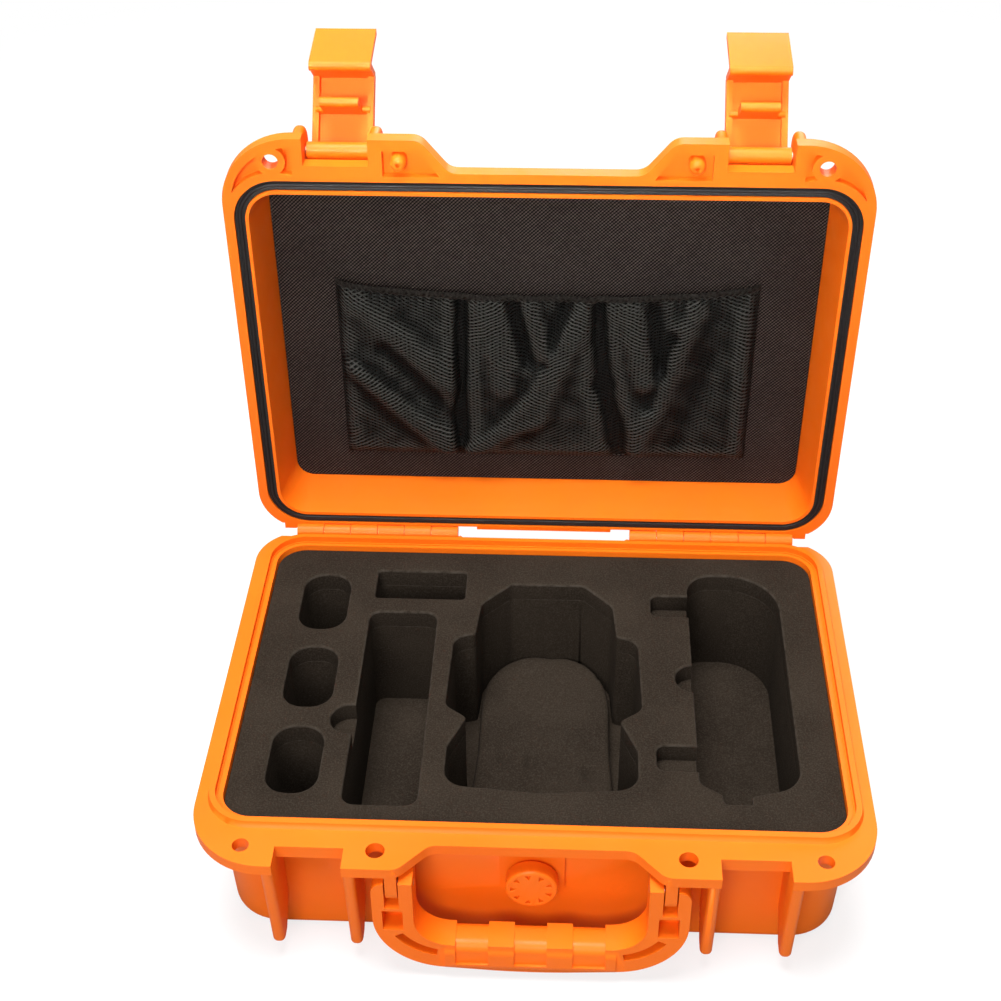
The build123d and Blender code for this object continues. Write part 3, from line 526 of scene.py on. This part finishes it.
def drone_bed():
    """The soft bed under the drone: rounded over, crowned, a little wider in front, and dented by use."""
    work = welded("drone_bed_pad")
    low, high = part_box("drone_bed_pad")
    remesh = work.modifiers.new("remesh", "REMESH")
    remesh.mode = "VOXEL"
    remesh.voxel_size = 1.6 * mm
    soften = work.modifiers.new("soften", "SMOOTH")
    soften.factor = 0.5
    soften.iterations = 14
    view = bpy.context.evaluated_depsgraph_get()
    mesh = bpy.data.meshes.new_from_object(work.evaluated_get(view))
    bpy.data.objects.remove(work)
    middle = (low[0] + high[0]) / 2
    half = (high[0] - low[0]) / 2
    arch = half * 1.2                     # length of the rounded back end
    chamfer = 15 * mm                     # the corners that it takes the place of
    squareness = 2.4                      # of that end: 2 is an ellipse, more is nearer to a square
    widening = 0.06                       # at the front, as a share of the width
    widening_length = 30 * mm
    dent_depth = 3.4
    # each one's place (X from the bed's middle, Y in the frame) and half widths (X, Y), in mm
    dents = ((-19, -5, 3.6, 5), (-6, -6, 3.0, 6), (-19, -36, 3.6, 8), (-6, -38, 3.2, 8),
             (22, -14, 3.0, 4))
    for vert in mesh.vertices:
        x, y, z = vert.co
        share = (z - low[2]) / (high[2] - low[2])
        along = min(0.99, max(0.0, (y - (high[1] - arch)) / arch))
        before = half - max(0.0, y - (high[1] - chamfer))
        narrow = min(1.0, half * (1 - along ** squareness) ** (1 / squareness) / before)
        front = min(1.0, max(0.0, -y / widening_length))
        height = 0.9 * noise.noise(Vector((x * 55, y * 55, 1.0))) - 0.3
        for dent_x, dent_y, wide, long in dents:
            away = ((x - middle) / mm - dent_x) ** 2 / wide ** 2 + (y / mm - dent_y) ** 2 / long ** 2
            height -= dent_depth * math.exp(-away)
        vert.co.x = middle + (x - middle) * narrow * (1 + widening * front)
        vert.co.z = z + share * height * mm
    mesh.polygons.foreach_set("use_smooth", [True] * len(mesh.polygons))
    piece = new_piece("drone_bed", mesh, "base", foam_material, "foam", "drone_bed_pad")


drone_bed()


# ---------------------------------------------------------------- lid pieces, drawn shut
hinge_y = 106.8 * mm
hinge_z = 71.5 * mm
lid_base = 71.9 * mm                    # the lid's mating face
lid_open = math.radians(88.7)
half_x = 138.5 * mm                     # the cavity, at the mating face
half_y = 94.3 * mm
cavity_corner = 14 * mm
lid_draft = math.radians(11.5)          # lean of the cavity's walls


def lid_point(x, y, rise):
    """Where a point of the shut lid is with the lid open; rise is its height over the mating face."""
    dy = y - hinge_y
    dz = lid_base + rise - hinge_z
    return Vector((x, hinge_y + math.cos(lid_open) * dy + math.sin(lid_open) * dz,
                   hinge_z - math.sin(lid_open) * dy + math.cos(lid_open) * dz))


def grid_mesh(name, columns, rows, point, closed=False, flat=None, ridge=None):
    """A mesh of quads through point(column, row); a closed one joins its last row to its first.

    flat and ridge give the marks that the net's material reads, at the same places; ridge sets its painted
    shade."""
    knots = [(i, j) for j in range(rows + 1 - closed) for i in range(columns + 1)]
    verts = [point(i, j) for i, j in knots]
    count = len(verts)
    faces = []
    for j in range(rows):
        for i in range(columns):
            a = j * (columns + 1) + i
            b = a + columns + 1
            faces.append((a, a + 1, (b + 1) % count, b % count))
    mesh = bpy.data.meshes.new(name)
    mesh.from_pydata(verts, [], faces)
    if flat:
        layer = mesh.attributes.new("flat", "FLOAT_VECTOR", "POINT")
        layer.data.foreach_set("vector", [c for i, j in knots for c in flat(i, j)])
    if ridge:
        layer = mesh.attributes.new("ridge", "FLOAT", "POINT")
        layer.data.foreach_set("value", [ridge(i, j) for i, j in knots])
    mesh.polygons.foreach_set("use_smooth", [True] * len(mesh.polygons))
    return mesh


# ---- gasket: a rubber band with a raised bead; the real bead is pressed flat as the lid shuts, this one keeps its shape
def gasket_loop(offset, count):
    """Points round the cavity at a distance outside its edge."""
    radius = cavity_corner + offset
    x_in, y_in = half_x - cavity_corner, half_y - cavity_corner
    corners = [(x_in, y_in, 0), (-x_in, y_in, 90), (-x_in, -y_in, 180), (x_in, -y_in, 270)]
    points = []
    for x, y, start in corners:
        for step in range(count + 1):
            turn = math.radians(start + 90 * step / count)
            points.append((x + radius * math.cos(turn), y + radius * math.sin(turn)))
    points.append(points[0])
    return points


# its section: across from its middle, and height over the mating face, in mm
gasket_section = ((-2.45, 5.3), (-2.45, 1.3), (-2.2, 0.9), (-1.5, 0.95), (-0.9, 1.2), (-0.5, 0.7),
                  (0.0, 0.5), (0.5, 0.7), (0.9, 1.2), (1.5, 0.95), (2.2, 0.9), (2.45, 1.3), (2.45, 5.3))
gasket_middle = 4.2                     # outside the cavity's edge
gasket_corner_steps = 10
gasket_lines = [gasket_loop((gasket_middle + across) * mm, gasket_corner_steps)
                for across, rise in gasket_section]


def gasket_point(i, j):
    """A point of the band: i goes round the cavity, j round the section."""
    x, y = gasket_lines[j % len(gasket_section)][i]
    return lid_point(x, y, gasket_section[j % len(gasket_section)][1] * mm)


mesh = grid_mesh("gasket", len(gasket_lines[0]) - 1, len(gasket_section), gasket_point, closed=True)
gasket = new_piece("gasket", mesh, "lid", rubber_material, "gasket", "lid_gasket")
gasket.data.set_sharp_from_angle(angle=math.radians(60))
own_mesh(gasket)

# ---- liner: a stretched woven panel over a foam board
board = moulded("lid_liner_board", "liner_board", "lid", 0.4 * mm, foam_material, "foam")
liner_depth = 25.0                      # mating face to the liner, in mm
liner_gap = 0.5                         # between the liner's edge and the wall, in mm
liner_inset = (liner_depth * math.tan(lid_draft) + liner_gap) * mm
liner_x = half_x - liner_inset
liner_y = half_y - liner_inset
liner_corner = 9 * mm
liner_back = 25.6 * mm                  # height over the mating face of the fabric's back
liner_thickness = 0.5 * mm
liner_columns, liner_rows = 150, 100


def liner_point(i, j):
    """A point of the panel's back: a rectangle with its corners drawn in to a radius, slightly uneven."""
    x = liner_x * (2 * i / liner_columns - 1)
    y = liner_y * (2 * j / liner_rows - 1)
    over_x = abs(x) - (liner_x - liner_corner)
    over_y = abs(y) - (liner_y - liner_corner)
    if over_x > 0 and over_y > 0 and math.hypot(over_x, over_y) > liner_corner:
        pull = liner_corner / math.hypot(over_x, over_y)
        x = math.copysign(liner_x - liner_corner + over_x * pull, x)
        y = math.copysign(liner_y - liner_corner + over_y * pull, y)
    wave = noise.noise(Vector((x * 22, y * 22, 3.0))) * 0.25 * mm
    return lid_point(x, y, liner_back + wave)


mesh = grid_mesh("liner_panel", liner_columns, liner_rows, liner_point)
liner = new_piece("liner_panel", mesh, "lid", liner_material, "liner", "lid_liner_fabric")
solid = liner.modifiers.new("thickness", "SOLIDIFY")
solid.thickness = liner_thickness
solid.offset = 1.0

# ---- net pocket: gathered at its mouth, sewn down on three sides and held down by two tucks
# Lengths that end in _mm are in millimetres, as the folds are.
wide_mm = 209.0
deep_mm = 107.5
sag_mm = 6.5                            # of the mouth, at its middle
hold_side_mm = 5.0                      # the net rises from its sewn sides over this
hold_bottom_mm = 6.0                    # and from its sewn bottom over this
least_mm, most_mm = 0.25, 7.4           # its height off the liner, before gathers and unevenness
stand_mm = 3.7                          # its height at the ends, without folds
belly_mm = 1.2                          # and what the middle adds to that
gather_mm = 3.7                         # pitch of the small gathers under the hem
gather_rise_mm = 0.55
gather_reach_mm = 8.0                   # how far down from the mouth they go
uneven_mm = 0.5
seat_mm = liner_depth - 0.35            # the sewn net's height over the mating face
flat_wide = 0.230                       # the net laid out flat, in metres: the folds take some up
flat_deep = 0.1075                      # only the weave is drawn over this length
pocket_x = wide_mm / 2 * mm
pocket_top = -36 * mm

# (start x, start y, end x, end y, height, half width at the start, at the end), in mm from the top left
folds = (
    (10.5, 12, 56.8, 61, 3.4, 5.5, 8.0), (6.6, 52, 57.2, 102, 3.8, 3.0, 5.0),
    (62.2, 12, 60.4, 107, -7.5, 1.8, 2.4), (75.8, 14, 82.7, 60, 3.2, 6.0, 4.5),
    (88.3, 12, 95.0, 46, -3.0, 3.0, 2.0), (95.2, 12, 104.7, 42, 2.6, 3.5, 3.0),
    (113.0, 14, 104.0, 46, -1.8, 3.0, 2.5), (124.9, 12, 96.6, 78, 3.6, 4.0, 5.5),
    (96.6, 78, 64.4, 104, 3.2, 5.0, 3.5), (129.7, 12, 134.0, 60, -7.5, 2.0, 3.0),
    (134.0, 60, 144.2, 107, -6.5, 3.0, 4.2), (146.0, 14, 154.3, 56, 3.2, 5.5, 4.0),
    (156.8, 14, 162.0, 50, -2.6, 3.0, 2.5), (178.0, 14, 150.2, 102, 3.4, 4.0, 4.5),
    (168.0, 30, 158.0, 72, -2.6, 2.5, 3.0), (186.0, 40, 172.0, 96, -1.6, 4.0, 5.0),
    (24.0, 40, 58.0, 80, -2.2, 3.5, 4.5), (201.0, 16, 205.0, 104, 1.6, 3.0, 3.0),
)


def fold_height(x, y):
    """Sum of the folds at a place in the pocket, in mm."""
    total = 0.0
    for x0, y0, x1, y1, height, wide0, wide1 in folds:
        dx, dy = x1 - x0, y1 - y0
        share = ((x - x0) * dx + (y - y0) * dy) / (dx * dx + dy * dy)
        held = min(1.0, max(0.0, share))
        away = math.hypot(x - x0 - held * dx, y - y0 - held * dy)
        wide = wide0 + (wide1 - wide0) * held
        total += height * math.exp(-0.5 * (away / wide) ** 2)
    return total


def mouth_sag(share):
    """How far the mouth hangs below its ends, in mm, at a share of its width."""
    return sag_mm * (1 - abs(2 * share - 1) ** 3)


def net_height(across, down):
    """How far the net stands off the liner, in mm, from its place on the flat (0 to 1 each way)."""
    x = wide_mm * across
    top = mouth_sag(across)
    y = top + (deep_mm - top) * down
    side = min(x, wide_mm - x)
    hold = min(1.0, side / hold_side_mm) ** 0.6 * min(1.0, (deep_mm - y) / hold_bottom_mm) ** 0.6
    stand = stand_mm + belly_mm * math.sin(math.pi * across)
    shifted = x + 3 * noise.noise(Vector((x * 0.05, 0, 2)))
    gathers = gather_rise_mm * math.sin(2 * math.pi * shifted / gather_mm)
    gathers *= math.exp(-((y - top) / gather_reach_mm) ** 2)
    rise = hold * max(least_mm, min(most_mm, stand + fold_height(x, y)))
    rise += hold * (uneven_mm * noise.noise(Vector((x * 0.11, y * 0.11, 8.0))) + gathers)
    return max(0.1, rise)


def pocket_surface(across, down):
    """A point of the net, from its place on the flat."""
    top = mouth_sag(across)
    y = top + (deep_mm - top) * down
    rise = net_height(across, down)
    return lid_point(wide_mm * across * mm - pocket_x, pocket_top + y * mm, (seat_mm - rise) * mm)


def ridge_share(across, down):
    """How much a place stands up from its surroundings, which sets the net's painted shade: 0 in a fold's
    foot, 1 on its ridge.
    """
    here = net_height(across, down)
    level = sum(net_height(min(1.0, max(0.0, across + dx)), min(1.0, max(0.0, down + dy)))
                for dx, dy in ((0.03, 0), (-0.03, 0), (0, 0.06), (0, -0.06))) / 4
    return min(1.0, max(0.0, 0.45 + 0.9 * (here - level) + 0.06 * (here - 4.0)))


net_columns, net_rows = 300, 130
mesh = grid_mesh("net_pocket", net_columns, net_rows,
                 lambda i, j: pocket_surface(i / net_columns, j / net_rows),
                 flat=lambda i, j: (i / net_columns * flat_wide, -j / net_rows * flat_deep, 0),
                 ridge=lambda i, j: ridge_share(i / net_columns, j / net_rows))
net = new_piece("net_pocket", mesh, "lid", net_material, "net", "mesh_pocket")

hem_sides = 10
hem_half_width = 1.9 * mm
hem_half_thickness = 0.55 * mm
hem_down = 0.012                        # its middle's place below the mouth, as a share of the net


def hem_point(i, j):
    """The hem: the net folded over at the pocket's mouth."""
    across = i / net_columns
    turn = 2 * math.pi * j / hem_sides
    middle = pocket_surface(across, hem_down)
    along = lid_point(0, 1, 0) - lid_point(0, 0, 0)
    out = lid_point(0, 0, 0) - lid_point(0, 0, 1)
    rough = 1 + 0.12 * noise.noise(Vector((i * 0.9, j * 0.5, 1.0)))
    return (middle + along * (hem_half_width * math.sin(turn) * rough)
            + out * (hem_half_thickness * math.cos(turn) * rough))


# the hem gets an even painted shade through its fixed ridge mark
mesh = grid_mesh("net_hem", net_columns, hem_sides, hem_point, closed=True,
                 flat=lambda i, j: (i / net_columns * flat_wide, 0.5 * mm * j, 0), ridge=lambda i, j: 0.6)
hem = new_piece("net_hem", mesh, "lid", hem_material, "net", "mesh_pocket_hem")


def stitches():
    """Sewing round the pocket's three fixed sides: short slanted stitches of thread."""
    first, side_step, bottom_step = 3, 2.3, 2.34        # all lengths here are in mm
    side_count, bottom_count = 46, 88
    lanes = ((0.4, 0.0, -50), (3.4, 1.1, 50))           # inset, shift along the side, lean in degrees
    bottom_y, bottom_lean = 106.6, 12
    half_length, half_width = 0.85, 0.24
    seat = 24.55                                        # the thread's middle over the mating face
    work = bmesh.new()
    random.seed(5)
    places = []
    for side in (0, 1):
        for step in range(side_count):
            for inset, shift, lean in lanes:
                x = wide_mm - inset if side else inset
                places.append((x, first + step * side_step + shift, lean))
    for step in range(bottom_count):
        places.append((first + step * bottom_step, bottom_y, bottom_lean))
    for x, y, lean in places:
        turn = math.radians(lean + random.uniform(-12, 12))
        reach = half_length + random.uniform(-0.1, 0.15)
        made = bmesh.ops.create_icosphere(work, subdivisions=1, radius=1.0)
        for vert in made["verts"]:
            a, b, c = vert.co
            dx = reach * a * math.cos(turn) - half_width * b * math.sin(turn)
            dy = reach * a * math.sin(turn) + half_width * b * math.cos(turn)
            vert.co = lid_point((x + dx) * mm - pocket_x, pocket_top + (y + dy) * mm,
                                (seat - half_width * c) * mm)
    mesh = finish_mesh(work, "pocket_stitches")
    mesh.polygons.foreach_set("use_smooth", [True] * len(mesh.polygons))
    return mesh


sewing = new_piece("pocket_stitches", stitches(), "lid", thread_material, "net")
